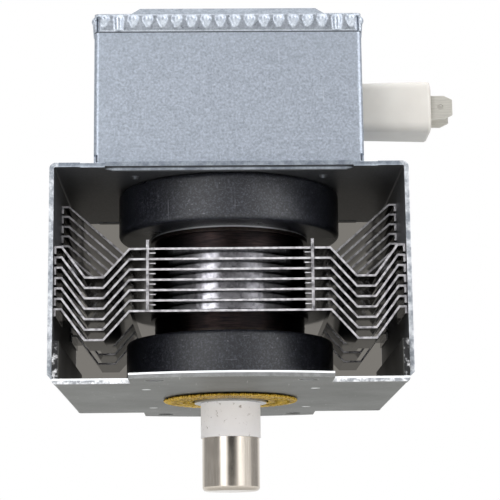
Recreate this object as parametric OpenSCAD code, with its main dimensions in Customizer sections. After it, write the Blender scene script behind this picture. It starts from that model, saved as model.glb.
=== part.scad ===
// Microwave-oven magnetron: folded steel yoke with two ring magnets, a finned copper tube between them,
// an antenna under the mounting plate and a crimped filter box with a two-blade connector on top.
// The origin is on the tube axis, at the underside of the mounting plate. The antenna points down.

/* [Yoke] */
// Width over the two side walls
yoke_w = 88; // [82:0.5:100]
// Depth of the side walls, front edge to back edge
yoke_d = 68; // [66:0.5:76]
// Thickness of the yoke sheet
yoke_t = 1.1; // [1:0.1:1.8]
// Inside radius of the two bends
yoke_bend = 0.4; // [0.2:0.1:1.5]
// Height of the side walls' lower ends above the mounting face
wall_end = 2.6; // [2:0.1:5]
// Width of the lanced lip at the front and back of the top plate
lip_w = 61; // [40:0.5:66]
// How far the lanced lip stands above the top plate
lip_lift = 0.2; // [0.1:0.1:0.9]
// Width of the dip on each side of the lanced lip
dip_w = 6; // [3:0.5:8]
// How far each dip hangs below the top plate
dip_drop = 0.15; // [0.1:0.05:0.6]
// Radius of the bead pressed into the top plate behind each lip
bead_r = 0.8; // [0.5:0.1:0.8]

/* [Mounting plate] */
// Thickness of the plate
plate_t = 1.4; // [1:0.1:2]
// Depth of the plate at its flanges
plate_d = 72; // [66:0.5:80]
// Gap between each turned-up flange and the side wall
flange_gap = 0.25; // [0.2:0.05:1]
// Height of the flanges above the mounting face
flange_h = 10.5; // [7:0.5:12]
// Outside radius of the plate's bends
plate_bend = 1; // [0.6:0.1:2.4]
// Width of the front and back tabs
tab_w = 48; // [44:0.5:60]
// Length of the plate over both tabs
tab_l = 100; // [96:0.5:110]
// How far each tab's edge bows out between its corners
tab_bow = 3.5; // [1:0.1:5]
// Distance between screw holes, left to right
hole_span_x = 36; // [30:0.5:38]
// Distance from a tab's end to its screw holes
hole_edge = 8; // [5:0.5:10]
// Diameter of the screw holes
hole_d = 4.6; // [3:0.1:5.5]

/* [Pressed pips] */
// Diameter of the pips that centre the magnets
pip_d = 2.4; // [1.6:0.1:4]
// Height of the pips
pip_h = 0.7; // [0.4:0.1:0.8]
// Room between a magnet and its pips
pip_gap = 3; // [0.5:0.1:4]
// Direction of the upper pips from the tube axis, in degrees
upper_pip_angle = 44.5; // [40:0.5:50]
// Direction of the lower pips from the tube axis, in degrees
lower_pip_angle = 48; // [40:0.5:56]
// Height of the clinch pips that join the walls to the flanges
clinch_z = 7; // [6:0.5:8]
// Distance between the clinch pips of one wall
clinch_span = 50; // [20:1:56]

/* [Magnets] */
// Diameter of the upper magnet
upper_magnet_d = 57.8; // [50:0.2:60]
// Thickness of the upper magnet
upper_magnet_t = 12; // [10:0.2:15]
// Diameter of the lower magnet
lower_magnet_d = 53.6; // [50:0.2:58]
// Thickness of the lower magnet
lower_magnet_t = 13; // [10:0.2:15]
// Room round the seal cans in the magnets, the yoke and the plates
can_room = 0.5; // [0.3:0.1:2]
// Radius of the magnets' rounded edges
magnet_edge = 1.2; // [0.4:0.1:2]

/* [Tube] */
// Outside diameter of the copper anode
anode_d = 39; // [37:0.2:40]
// Wall of the anode
anode_wall = 2.2; // [1.5:0.1:2.6]
// Length of the anode
anode_l = 24.6; // [22:0.1:28]
// Thickness of a vane
vane_t = 1.9; // [1:0.1:2.2]
// Height of a vane
vane_h = 9.4; // [8:0.1:11]
// Diameter of the space between the vane tips
vane_bore = 9.2; // [8.8:0.1:11]
// Inside radius of the notch for the strap rings
strap_r = 5.6; // [5.5:0.1:5.8]
// Width of a strap ring
strap_w = 0.8; // [0.5:0.1:1]
// Height of a strap ring
strap_h = 1; // [0.6:0.1:1.2]
// Diameter of the pole pieces' rims
rim_d = 41; // [40:0.2:44]
// Thickness of the pole pieces' rims
rim_t = 1.3; // [1:0.1:2]
// Bore of the pole pieces
pole_bore = 9.6; // [8.6:0.1:11]
// Thickness of the pole pieces' cones
pole_t = 1.5; // [1:0.1:2]
// Distance between a pole tip and the vanes
pole_gap = 1.3; // [0.6:0.1:2]
// Outside diameter of the seal cans
can_d = 18.6; // [17.6:0.1:20]
// Sheet thickness of the seal cans
can_t = 0.5; // [0.3:0.1:0.8]
// How far the upper seal can stands in the filter box
can_rise = 1.9; // [1:0.1:4]
// How far the lower seal can stands below the mounting face
can_drop = 1.3; // [1.2:0.1:3]

/* [Cathode] */
// Diameter of the filament coil, at the middle of its wire
filament_d = 3.8; // [3:0.1:4.2]
// Diameter of the filament wire
filament_wire = 0.5; // [0.3:0.05:0.7]
// Turns of the filament
filament_turns = 8; // [5:1:9]
// Diameter of the end hats
hat_d = 7.2; // [6.4:0.1:8]
// Thickness of the end hats
hat_t = 1.2; // [0.8:0.1:1.8]
// Diameter of the two leads
lead_d = 1.1; // [0.8:0.1:1.4]
// Distance of the side lead from the axis
side_lead_y = 2.7; // [2.4:0.1:2.9]

/* [Output] */
// Diameter of the output ceramic
ceramic_d = 15.4; // [13:0.1:17]
// Length of the output ceramic
ceramic_l = 8.9; // [6:0.1:14]
// Wall of the output ceramic
ceramic_wall = 2.2; // [1.6:0.1:2.6]
// Diameter of the antenna cap
cap_d = 14.8; // [13:0.1:16]
// Length of the antenna cap
cap_l = 13.6; // [11:0.1:20]
// Sheet thickness of the antenna cap
cap_t = 0.5; // [0.3:0.1:1]
// Radius of the cap's closed end
cap_edge = 1.1; // [0.4:0.1:2]
// Outside diameter of the copper exhaust tube
exhaust_d = 8; // [6:0.1:9]
// Diameter of the antenna lead
antenna_d = 1.6; // [1:0.1:2]
// Outside diameter of the mesh gasket
gasket_d = 35; // [30:0.5:40]
// Height of the mesh gasket
gasket_h = 1.1; // [0.8:0.1:2]

/* [Fins] */
// Thickness of the fin sheet
fin_t = 0.5; // [0.3:0.05:0.8]
// Distance from one fin to the next
fin_pitch = 2.55; // [2:0.05:3]
// Height of the lowest fin above the anode's lower end
fin_first = 2.2; // [1:0.1:3.5]
// Depth of the fins
fin_d = 64; // [58:0.5:66]
// Width of the flat middle between the two bends
fin_flat = 49; // [46:0.5:52]
// Depth of the middle strips, which rise at both sides
mid_strip_d = 28; // [20:0.5:36]
// Width of the slits between strips
slit_w = 0.5; // [0.2:0.1:1]
// How far the middle strips rise
strip_rise = 14.6; // [10:0.2:16]
// Depth of the valley in the front and back strips
valley_h = 7; // [4:0.1:8]
// Width of the valley's flat bottom
valley_w = 4.5; // [2:0.1:6]
// Distance from the bend to the valley's flat bottom
valley_run = 6.3; // [4:0.1:8]
// Height of the strips' outer ends above the fin
end_rise = 0.6; // [0:0.1:1.5]
// Width of the strips' flat outer ends
end_w = 1.6; // [1:0.1:3]
// Length of the lip that is bent down at each outer end
fin_lip = 1.7; // [1:0.1:2]
// Room between the fins and the side walls
fin_room = 0.1; // [0.05:0.05:0.5]
// Distance between the spacer tabs
spacer_span = 40.2; // [30:0.2:44]
// Width of a spacer tab
spacer_w = 0.7; // [0.4:0.1:2]
// Length of the small lug on each spacer tab
lug_l = 1.6; // [0.8:0.1:3]

/* [Filter box] */
// Width of the filter box
box_w = 67.2; // [62:0.2:76]
// Depth of the filter box
box_d = 60; // [54:0.2:62]
// Height of the filter box with its lid rim
box_h = 39.4; // [34:0.2:50]
// Sheet thickness of the box
box_t = 0.7; // [0.5:0.1:1]
// Radius of the box's upright corners
box_corner = 1.3; // [1.2:0.1:2]
// Width and height of the open notches at the lower corners
corner_notch = 1.9; // [1:0.1:3]
// Sheet thickness of the lid
lid_t = 0.6; // [0.4:0.1:0.8]
// Height of the lid's crimped skirt
skirt_h = 4.6; // [3.5:0.1:6]
// Distance from one crimp to the next
crimp_pitch = 3.66; // [3:0.02:5]
// Distance from the lid's corner to the first crimp
crimp_margin = 2.5; // [2.5:0.1:4]
// How far the crimps stand out of the skirt
crimp_out = 0.8; // [0.2:0.1:1]
// Height of the lid's raised middle
dome_h = 3.4; // [1.5:0.1:5]
// Width of the lid's raised middle at its foot
dome_w = 51.6; // [40:0.2:56]
// Depth of the lid's raised middle at its foot
dome_d = 55; // [44:0.2:56]

/* [Connector] */
// Height of the connector's middle above the box floor
plug_z = 21.1; // [17:0.05:24]
// Height of the capacitor case at its outer end
case_h = 14; // [12.8:0.1:15]
// Depth of the capacitor case at its outer end
case_d = 14.2; // [13.6:0.1:16]
// How much smaller the case is at the box
case_draft = 0.8; // [0:0.1:1]
// Length of the case outside the box
case_l = 19.4; // [14:0.1:24]
// Radius of the case's long edges
case_corner = 2.4; // [1:0.1:3]
// Diameter of the neck that passes through the box wall
neck_d = 12; // [11.8:0.1:12.2]
// Length of the capacitor inside the box
core_l = 6.4; // [4:0.1:9]
// Thickness of the metal flange
flange_t = 0.7; // [0.5:0.1:1.2]
// Width of the metal flange
flange_w = 24; // [22:0.2:30]
// Distance between the flange rivets
rivet_span = 18.6; // [18:0.2:20]
// Diameter of the flange rivets
rivet_d = 2.2; // [1.5:0.1:2.4]
// Distance between the two blades
blade_span = 8.6; // [8:0.1:8.8]
// Thickness of a blade
blade_t = 0.8; // [0.5:0.1:0.9]
// Width of a blade
blade_w = 6.3; // [5:0.1:6.5]
// Length of a blade outside the case
blade_l = 5.9; // [5:0.1:9]

/* [Chokes] */
// Diameter of the choke wire
choke_wire = 1.4; // [1:0.1:1.5]
// Turns of each choke
choke_turns = 11; // [8:1:11]
// Diameter of the ferrite cores
core_d = 5; // [4:0.1:6]
// Length of the ferrite cores
core_rod_l = 20; // [16:0.5:24]

/* [Hidden] */
$fn = 64;

// Colours as the photograph shows them
zinc = "#b9bfc8";
plated_steel = "#a9acb0";
polished_steel = "#d2d2d4";
ferrite_black = "#26272a";
fin_aluminium = "#cfd2d6";
copper = "#b4683f";
ceramic_white = "#dedad6";
brass = "#b7912f";
case_white = "#e2dfd8";
tungsten = "#77756f";
enamel_copper = "#8a4526";

fit_gap = 0.05;   // between pieces that are pressed or brazed together
cut_over = 1;     // how far a cut runs past the sheet
fin_count = 7;
vane_count = 10;
wire_sides = 6;
turn_steps = 12;

// Heights of the stack, from the mounting face up
lower_rim_z = plate_t + lower_magnet_t;
anode_z = lower_rim_z + rim_t;
anode_top = anode_z + anode_l;
upper_magnet_z = anode_top + rim_t;
yoke_inner_z = upper_magnet_z + upper_magnet_t;
yoke_top = yoke_inner_z + yoke_t;
tube_mid = (anode_z + anode_top) / 2;
vane_z = tube_mid - vane_h / 2;
vane_top = tube_mid + vane_h / 2;

// Widths that several pieces share
hole_span_y = tab_l - 2 * hole_edge;
wall_x = yoke_w / 2 - yoke_t;
anode_r = anode_d / 2;
anode_bore_r = anode_r - anode_wall;
can_r = can_d / 2;
can_hole_r = can_r + can_room;
ceramic_r = ceramic_d / 2;
ceramic_bore_r = ceramic_r - ceramic_wall;
lead_r = lead_d / 2;
upper_pip_r = upper_magnet_d / 2 + pip_gap + pip_d / 2;
lower_pip_r = lower_magnet_d / 2 + pip_gap + pip_d / 2;

// Pole pieces: outward heights from the anode's end
shoulder_r = anode_bore_r - 0.5;
shoulder_h = 0.3;
shoulder_w = 4.3;
cone_r = shoulder_r - shoulder_w;
tip_r = pole_bore / 2 + 2.2;
pole_depth = (anode_l - vane_h) / 2 - pole_gap;
can_foot_r = shoulder_r - 0.4;
antenna_x = strap_r + 2 * strap_w + 2.2;

// Heights of the output
output_z = -can_drop;
cap_z = output_z - ceramic_l;
cap_end = cap_z - cap_l;

// Filter box heights
box_floor = yoke_top + box_t;
lid_top = yoke_top + box_h;
box_rim = lid_top - lid_t;
skirt_z = lid_top - skirt_h;
neck_inset = lid_t + fit_gap;
stem_z = box_floor + can_rise;
stem_l = 7;
stem_top = stem_z + stem_l;
plug_mid = box_floor + plug_z;

// Connector places along X, from the box wall out
wall_in = box_w / 2 - box_t;
wall_out = box_w / 2;
case_x = wall_out + flange_t;
case_end = case_x + case_l;
core_end = wall_in - core_l;
blade_lug_l = 5.5;
lug_end = core_end - blade_lug_l;
shank_h = 4;
blade_y = blade_span / 2;

// Chokes: the wire lies against the lugs' outer faces
choke_r = core_d / 2 + choke_wire / 2 + 0.15;
wire_y = blade_y + blade_t / 2 + fit_gap + choke_wire / 2;
choke_y = wire_y + choke_r;
lug_x = choke_wire / 2 + 3.3;
choke_end_x = lug_end + choke_wire / 2 + 0.6;
terminal_t = 0.8;
terminal_h = 6;

function unit(v) = v / norm(v);
function left_of(a, b) = let (d = unit(b - a)) [-d[1], d[0]];

// Direction in which a bent strip's face lies at point i, lengthened at the bends
function face_dir(p, i) =
  let (last = len(p) - 1)
  let (before = i == 0 ? left_of(p[0], p[1]) : left_of(p[i - 1], p[i]))
  let (after = i == last ? before : left_of(p[i], p[i + 1]))
  let (mid = unit(before + after))
  mid / (mid * after);

// Outline of a sheet of thickness t that follows the points p
function bent_sheet(p, t) = concat(
  [for (i = [0 : len(p) - 1]) p[i] + face_dir(p, i) * t / 2],
  [for (i = [len(p) - 1 : -1 : 0]) p[i] - face_dir(p, i) * t / 2]
);

function along(p, i) = unit(p[min(i + 1, len(p) - 1)] - p[max(i - 1, 0)]);

// Ring of points round point i of a wire's path, kept square to side
function wire_ring(p, i, r, side) =
  let (t = along(p, i))
  let (u = unit(cross(side, t)))
  let (v = cross(t, u))
  [for (k = [0 : wire_sides - 1]) p[i] + r * (cos(360 * k / wire_sides) * u + sin(360 * k / wire_sides) * v)];

// Round wire along the points p
module wire(p, d, side) {
  n = wire_sides;
  rings = [for (i = [0 : len(p) - 1]) each wire_ring(p, i, d / 2, side)];
  skin = [
    for (i = [0 : len(p) - 2], k = [0 : n - 1])
      let (a = i * n + k, b = i * n + (k + 1) % n)
        each [[a, a + n, b + n], [a, b + n, b]]
  ];
  first = [for (k = [0 : n - 1]) k];
  last = [for (k = [n - 1 : -1 : 0]) (len(p) - 1) * n + k];
  polyhedron(rings, concat(skin, [first, last]));
}

// Block with its upper long edges rounded, standing on height z
module round_top_block(w, d, z, h, r) {
  translate([-w / 2, -d / 2, z]) cube([w, d, h - r]);
  translate([-w / 2 + r, -d / 2, z]) cube([w - 2 * r, d, h]);
  for (side = [-1, 1])
    translate([side * (w / 2 - r), d / 2, z + h - r]) rotate([90, 0, 0]) cylinder(h = d, r = r);
}

// Block with its four upright edges rounded, standing on height z
module round_block(w, d, z, h, r) {
  translate([-w / 2 + r, -d / 2, z]) cube([w - 2 * r, d, h]);
  translate([-w / 2, -d / 2 + r, z]) cube([w, d - 2 * r, h]);
  for (sx = [-1, 1], sy = [-1, 1])
    translate([sx * (w / 2 - r), sy * (d / 2 - r), z]) cylinder(h = h, r = r);
}

module at_pips(radius, angle) {
  for (sx = [-1, 1], sy = [-1, 1])
    translate([sx * radius * cos(angle), sy * radius * sin(angle), 0]) children();
}

// Pip that stands pip_h below the plane z and reaches above it by over
module pip_below(z, over) {
  translate([0, 0, z - pip_h]) cylinder(h = pip_h, d1 = pip_d * 0.4, d2 = pip_d);
  translate([0, 0, z]) cylinder(h = over, d = pip_d);
}

// Ring turned from a section given in radius and outward height, at the anode's upper or lower end
module turned_at(z, up) {
  translate([0, 0, z]) mirror([0, 0, up ? 0 : 1]) rotate_extrude() children();
}

module yoke_lip() {
  lip_d = (yoke_d - box_d) / 2;
  bead_end = 2 * bead_r;
  bead_l = lip_w / 2 - bead_end;
  translate([-lip_w / 2, -yoke_d / 2, yoke_inner_z + lip_lift]) cube([lip_w, lip_d, yoke_t]);
  translate([-lip_w / 2, -box_d / 2 - yoke_t, yoke_inner_z]) cube([lip_w, yoke_t, yoke_t + lip_lift]);
  translate([-lip_w / 2, -box_d / 2 - yoke_t, yoke_inner_z]) cube([lip_w, 2 * yoke_t, yoke_t]);
  translate([0, -box_d / 2 - yoke_t, yoke_inner_z + bead_r * 0.2])
    for (side = [-1, 1])
      rotate([0, side * 90, 0]) {
        cylinder(h = bead_l, r = bead_r);
        translate([0, 0, bead_l]) cylinder(h = bead_end, r1 = bead_r, r2 = bead_r * 0.15);
      }
}

module yoke_dip() {
  translate([lip_w / 2, -yoke_d / 2, yoke_inner_z - dip_drop]) cube([dip_w, 2 * yoke_t, yoke_t]);
}

module yoke_frame() {
  lip_d = (yoke_d - box_d) / 2;
  color(zinc) {
    difference() {
      round_top_block(yoke_w, yoke_d, wall_end, yoke_top - wall_end, yoke_bend + yoke_t);
      round_top_block(
        2 * wall_x, yoke_d + cut_over, wall_end - cut_over, yoke_inner_z - wall_end + cut_over, yoke_bend
      );
      translate([0, 0, yoke_inner_z - cut_over]) cylinder(h = yoke_t + 2 * cut_over, r = can_hole_r);
      at_pips(upper_pip_r, upper_pip_angle) pip_below(yoke_top, cut_over);
      for (end = [0, 1])
        mirror([0, end, 0]) {
          translate([-lip_w / 2, -yoke_d / 2 - cut_over, yoke_inner_z - cut_over])
            cube([lip_w, lip_d + cut_over, yoke_t + 2 * cut_over]);
          for (side = [0, 1])
            mirror([side, 0, 0])
              translate([lip_w / 2, -yoke_d / 2 - cut_over, yoke_top - dip_drop])
                cube([dip_w, cut_over + yoke_t, dip_drop + cut_over]);
        }
    }
    at_pips(upper_pip_r, upper_pip_angle) pip_below(yoke_inner_z, yoke_t / 4);
    for (end = [0, 1])
      mirror([0, end, 0]) {
        yoke_lip();
        for (side = [0, 1])
          mirror([side, 0, 0]) yoke_dip();
      }
    for (side = [-1, 1], end = [-1, 1])
      translate([side * wall_x, end * clinch_span / 2, clinch_z]) rotate([0, -side * 90, 0])
        cylinder(h = flange_gap - fit_gap, d = pip_d);
  }
}

module plate_tabs() {
  bow_r = (tab_w * tab_w / 4 + tab_bow * tab_bow) / (2 * tab_bow);
  bow_y = tab_l / 2 - bow_r;
  intersection() {
    translate([-tab_w / 2, -tab_l / 2, 0]) cube([tab_w, tab_l, plate_t]);
    translate([0, bow_y, 0]) cylinder(h = plate_t, r = bow_r, $fn = 180);
    translate([0, -bow_y, 0]) cylinder(h = plate_t, r = bow_r, $fn = 180);
  }
}

module mounting_plate() {
  outer_w = 2 * (wall_x - flange_gap);
  color(plated_steel) difference() {
    union() {
      difference() {
        mirror([0, 0, 1]) round_top_block(outer_w, plate_d, -flange_h, flange_h, plate_bend);
        translate([0, 0, plate_t]) mirror([0, 0, 1])
          round_top_block(outer_w - 2 * plate_t, plate_d + cut_over, -flange_h, flange_h, plate_bend * 0.3);
      }
      plate_tabs();
      at_pips(lower_pip_r, lower_pip_angle)
        translate([0, 0, plate_t]) mirror([0, 0, 1]) pip_below(0, plate_t / 4);
    }
    at_pips(lower_pip_r, lower_pip_angle) mirror([0, 0, 1]) pip_below(0, cut_over);
    translate([0, 0, -cut_over]) cylinder(h = plate_t + 2 * cut_over, r = can_hole_r);
    for (sx = [-1, 1], sy = [-1, 1])
      translate([sx * hole_span_x / 2, sy * hole_span_y / 2, -cut_over])
        cylinder(h = plate_t + 2 * cut_over, d = hole_d);
  }
}

// Ring magnet with rounded outer edges
module ring_magnet(d, t, z) {
  r = d / 2;
  e = magnet_edge;
  color(ferrite_black) translate([0, 0, z]) difference() {
    union() {
      translate([0, 0, e]) cylinder(h = t - 2 * e, r = r);
      cylinder(h = t, r = r - e);
      for (h = [e, t - e])
        translate([0, 0, h]) rotate_extrude() translate([r - e, 0]) circle(r = e);
    }
    translate([0, 0, -cut_over]) cylinder(h = t + 2 * cut_over, r = can_hole_r);
  }
}

module upper_magnet() {
  ring_magnet(upper_magnet_d, upper_magnet_t, upper_magnet_z);
}

module lower_magnet() {
  ring_magnet(lower_magnet_d, lower_magnet_t, plate_t);
}

// Strip of fin at the right side, from y0 to y1
module fin_strip(points, y0, y1) {
  translate([0, y1, 0]) rotate([90, 0, 0]) linear_extrude(height = y1 - y0)
    polygon(bent_sheet(points, fin_t));
}

module fin_spacer(lug) {
  tab_h = fin_pitch - fin_t - fit_gap;
  lug_t = fin_t / 2;
  translate([spacer_span / 2 - spacer_w / 2, -fin_d / 2, 0]) cube([spacer_w, fin_t, fin_t + tab_h]);
  if (lug)
    translate([spacer_span / 2 - spacer_w / 2 - lug_l, -fin_d / 2, fin_t + tab_h * 0.55])
      cube([lug_l + spacer_w / 2, 2 * fin_t, lug_t]);
}

// One fin, with its sheet's lower face at height z, and with or without the lugs on its spacer tabs
module fin(z, lug) {
  bend_x = fin_flat / 2;
  lip_x = wall_x - fin_room - fin_t / 2;
  root = [bend_x - fin_t, 0];
  bend = [bend_x, 0];
  valley = [
    root, bend, [bend_x + valley_run, -valley_h], [bend_x + valley_run + valley_w, -valley_h],
    [lip_x - end_w, end_rise], [lip_x, end_rise], [lip_x, end_rise - fin_lip]
  ];
  ridge = [root, bend, [lip_x - end_w, strip_rise], [lip_x, strip_rise], [lip_x, strip_rise - fin_lip]];
  mid = mid_strip_d / 2;
  collar_r = anode_r + fit_gap;
  color(fin_aluminium) translate([0, 0, z]) {
    difference() {
      translate([-bend_x, -fin_d / 2, 0]) cube([fin_flat, fin_d, fin_t]);
      translate([0, 0, -cut_over]) cylinder(h = fin_t + 2 * cut_over, r = collar_r);
    }
    rotate_extrude() polygon([
      [collar_r, 0], [collar_r + 3 * fin_t, 0], [collar_r + 3 * fin_t, fin_t], [collar_r + 2 * fin_t, fin_t],
      [collar_r + fin_t, 2 * fin_t], [collar_r + fin_t, fin_pitch - fit_gap], [collar_r, fin_pitch - fit_gap]
    ]);
    for (side = [0, 1])
      mirror([side, 0, 0]) {
        translate([0, 0, fin_t / 2]) {
          fin_strip(valley, -fin_d / 2, -mid - slit_w / 2);
          fin_strip(ridge, -mid + slit_w / 2, mid - slit_w / 2);
          fin_strip(valley, mid + slit_w / 2, fin_d / 2);
        }
        for (end = [0, 1])
          mirror([0, end, 0]) fin_spacer(lug);
      }
  }
}

module cooling_fin(i) {
  fin(anode_z + fin_first + (i - 1) * fin_pitch, i < fin_count);
}

module anode_cylinder() {
  color(copper) translate([0, 0, anode_z]) difference() {
    cylinder(h = anode_l, r = anode_r);
    translate([0, 0, -cut_over]) cylinder(h = anode_l + 2 * cut_over, r = anode_bore_r);
  }
}

// Ring-shaped space between two radii
module ring(r0, r1, z, h) {
  translate([0, 0, z]) difference() {
    cylinder(h = h, r = r1);
    translate([0, 0, -cut_over]) cylinder(h = h + 2 * cut_over, r = r0);
  }
}

strap_gap = 0.3;
notch_r = strap_r + 2 * strap_w + 3 * strap_gap;
notch_h = strap_h + strap_gap;

module anode_vanes() {
  color(copper) difference() {
    intersection() {
      for (i = [0 : vane_count - 1])
        rotate(360 * i / vane_count) translate([0, -vane_t / 2, vane_z]) cube([anode_r, vane_t, vane_h]);
      ring(vane_bore / 2, anode_bore_r - fit_gap, vane_z - cut_over, vane_h + 2 * cut_over);
    }
    ring(strap_r, notch_r, vane_top - notch_h, notch_h + cut_over);
    ring(strap_r, notch_r, vane_z - cut_over, notch_h + cut_over);
  }
}

module strap_rings() {
  color(copper)
    for (z = [vane_z + notch_h - strap_h, vane_top - notch_h], k = [0, 1])
      let (r = strap_r + strap_gap + k * (strap_w + strap_gap))
        ring(r, r + strap_w, z, strap_h);
}

module pole_section() {
  polygon([
    [pole_bore / 2, -pole_depth], [tip_r, -pole_depth], [cone_r, shoulder_h - pole_t],
    [shoulder_r, shoulder_h - pole_t], [shoulder_r, 0], [rim_d / 2, 0], [rim_d / 2, rim_t],
    [shoulder_r, rim_t], [shoulder_r, shoulder_h], [cone_r, shoulder_h],
    [tip_r, pole_t - pole_depth], [pole_bore / 2, pole_t - pole_depth]
  ]);
}

module upper_pole_piece() {
  color(plated_steel) turned_at(anode_top, true) pole_section();
}

module lower_pole_piece() {
  color(plated_steel) difference() {
    turned_at(anode_z, false) pole_section();
    translate([antenna_x, 0, anode_z - cut_over]) cylinder(h = pole_depth + 2 * cut_over, d = 2 * antenna_d);
  }
}

// Seal can from its foot on the pole piece to its end at outward height h
module can_section(h) {
  polygon([
    [can_r - can_t, shoulder_h], [can_foot_r, shoulder_h], [can_foot_r, shoulder_h + can_t],
    [can_r, shoulder_h + can_t], [can_r, h], [ceramic_bore_r, h], [ceramic_bore_r, h - can_t],
    [can_r - can_t, h - can_t]
  ]);
}

module upper_seal_can() {
  color(plated_steel) turned_at(anode_top, true) can_section(stem_z - anode_top);
}

module lower_seal_can() {
  color(plated_steel) turned_at(anode_z, false) can_section(anode_z - output_z);
}

hat_gap = 0.1;
lower_hat_top = vane_z - hat_gap;
upper_hat_z = vane_top + hat_gap;

module cathode_filament() {
  z0 = lower_hat_top + filament_wire / 2 + fit_gap;
  z1 = upper_hat_z - filament_wire / 2 - fit_gap;
  steps = filament_turns * turn_steps;
  path = [
    for (i = [0 : steps])
      let (a = 360 * i / turn_steps)
        [filament_d / 2 * cos(a), filament_d / 2 * sin(a), z0 + (z1 - z0) * i / steps]
  ];
  color(tungsten) wire(path, filament_wire, [0, 0, 1]);
}

module upper_end_hat() {
  color(tungsten) translate([0, 0, upper_hat_z]) difference() {
    cylinder(h = hat_t, d = hat_d);
    translate([0, 0, -cut_over]) cylinder(h = hat_t + 2 * cut_over, r = lead_r + 0.4);
  }
}

module lower_end_hat() {
  color(tungsten) translate([0, 0, lower_hat_top - hat_t]) difference() {
    cylinder(h = hat_t, d = hat_d);
    translate([0, 0, -cut_over]) cylinder(h = hat_t + 2 * cut_over, r = lead_r + fit_gap);
  }
}

module centre_lead() {
  color(tungsten) translate([0, 0, lower_hat_top - hat_t])
    cylinder(h = stem_top + terminal_t - lower_hat_top + hat_t, d = lead_d);
}

module side_lead() {
  color(tungsten) translate([0, -side_lead_y, upper_hat_z + hat_t])
    cylinder(h = stem_top + terminal_t - upper_hat_z - hat_t, d = lead_d);
}

module lead_holes(z, h) {
  for (y = [0, -side_lead_y])
    translate([0, y, z]) cylinder(h = h, r = lead_r + fit_gap);
}

module stem_insulator() {
  color(ceramic_white) difference() {
    translate([0, 0, stem_z]) cylinder(h = stem_l, r = ceramic_r);
    lead_holes(stem_z - cut_over, stem_l + 2 * cut_over);
  }
}

// Two upright lugs on the stem, each with a foot round its own lead
module stem_terminals() {
  foot_gap = 0.6;
  foot_w = lead_d + 1.8;
  split_y = -side_lead_y / 2;
  lug_y = blade_y - blade_t / 2;
  far_y = lug_y + terminal_t;
  color(plated_steel) difference() {
    union() {
      translate([-foot_w / 2, split_y + foot_gap / 2, stem_top])
        cube([foot_w, far_y - split_y - foot_gap / 2, terminal_t]);
      translate([-foot_w / 2, -far_y, stem_top]) cube([foot_w, far_y + split_y - foot_gap / 2, terminal_t]);
      for (side = [0, 1])
        mirror([0, side, 0])
          translate([-foot_w / 2, lug_y, stem_top])
            cube([foot_w / 2 + lug_x + choke_wire, terminal_t, terminal_h]);
    }
    lead_holes(stem_top - cut_over, terminal_t + 2 * cut_over);
  }
}

module output_insulator() {
  color(ceramic_white) translate([0, 0, cap_z]) difference() {
    cylinder(h = ceramic_l, r = ceramic_r);
    translate([0, 0, -cut_over]) cylinder(h = ceramic_l + 2 * cut_over, r = ceramic_bore_r);
  }
}

pinch_h = 4;
exhaust_end = cap_end + cap_t + 2;
antenna_end = exhaust_end + pinch_h + cut_over;
antenna_rise = 6;
antenna_path = [
  [antenna_x, 0, vane_z - fit_gap], [antenna_x, 0, anode_z + pole_t + 1],
  [0, 0, output_z + can_t + antenna_rise], [0, 0, antenna_end]
];

module antenna_lead() {
  color(copper) {
    for (i = [0 : len(antenna_path) - 2])
      let (a = antenna_path[i], b = antenna_path[i + 1], d = b - a)
        translate(a) rotate([0, acos(d[2] / norm(d)), atan2(d[1], d[0])])
          cylinder(h = norm(d), d = antenna_d);
    for (i = [1, 2])
      translate(antenna_path[i]) sphere(d = antenna_d + 2 * fit_gap);
  }
}

// Copper tube with a flange on the ceramic and a flattened, pinched-off end
module exhaust_tube() {
  wall = 0.8;
  foot_t = 0.6;
  color(copper) difference() {
    union() {
      translate([0, 0, cap_z - foot_t]) cylinder(h = foot_t, d = cap_d - 2 * cap_t - 2 * fit_gap);
      translate([0, 0, exhaust_end + pinch_h]) cylinder(h = cap_z - exhaust_end - pinch_h, d = exhaust_d);
      hull() {
        translate([0, 0, exhaust_end + pinch_h]) cylinder(h = wall, d = exhaust_d, $fn = 32);
        translate([-exhaust_d / 2, -wall, exhaust_end]) cube([exhaust_d, 2 * wall, wall]);
      }
    }
    translate([0, 0, exhaust_end + pinch_h + wall])
      cylinder(h = cap_z - exhaust_end, d = exhaust_d - 2 * wall);
  }
}

// Drawn steel cup, closed at its lower end
module antenna_cap() {
  r = cap_d / 2;
  color(polished_steel) translate([0, 0, cap_end]) difference() {
    union() {
      translate([0, 0, cap_edge]) cylinder(h = cap_l - cap_edge, r = r);
      cylinder(h = cap_edge, r = r - cap_edge);
      translate([0, 0, cap_edge]) rotate_extrude() translate([r - cap_edge, 0]) circle(r = cap_edge);
    }
    translate([0, 0, cap_edge + cap_t]) cylinder(h = cap_l, r = r - cap_t);
  }
}

module rf_gasket() {
  r0 = can_r + fit_gap + 0.3;
  r1 = gasket_d / 2;
  e = gasket_h / 2;
  color(brass) translate([0, 0, -gasket_h]) {
    ring(r0 + e, r1 - e, 0, gasket_h);
    for (r = [r0 + e, r1 - e])
      translate([0, 0, e]) rotate_extrude() translate([r, 0]) circle(r = e);
  }
}

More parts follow.
